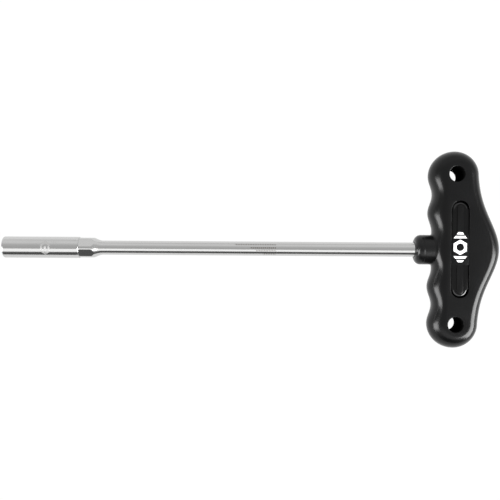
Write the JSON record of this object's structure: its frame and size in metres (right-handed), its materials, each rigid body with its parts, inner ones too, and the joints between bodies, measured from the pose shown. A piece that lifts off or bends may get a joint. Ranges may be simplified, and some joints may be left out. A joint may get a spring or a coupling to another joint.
{
  "type": "t-handle socket wrench",
  "caption": "Slim T-handle socket wrench: deep hexagon socket, long chromed shaft with a hexagon bolster, and a black cross handle with finger grooves, a palm bulge and hanging holes.",
  "frame": {"origin": "centre of the socket's mouth, on the axis of the shaft", "axes": "+X along the shaft from the socket to the handle, +Y across the T-handle, +Z through the thickness of the handle, out of its front face; the tool lies flat"},
  "size_m": [0.2767, 0.1094, 0.02],
  "materials": {
    "socket_chrome": "satin chrome over turned steel",
    "shaft_chrome": "satin chrome over drawn steel",
    "core_plastic": "fine satin moulded plastic",
    "grip_plastic": "finely textured moulded plastic",
    "mark_print": "white pad print on the name plate",
    "plate_plastic": "smooth moulded plastic"
  },
  "bodies": {
    "root": {"socket": "socket_chrome", "shaft": "shaft_chrome", "handle_core": "core_plastic", "handle_grip": "grip_plastic", "front_name_plate": "plate_plastic", "rear_name_plate": "plate_plastic"}
  },
  "joints": []
}
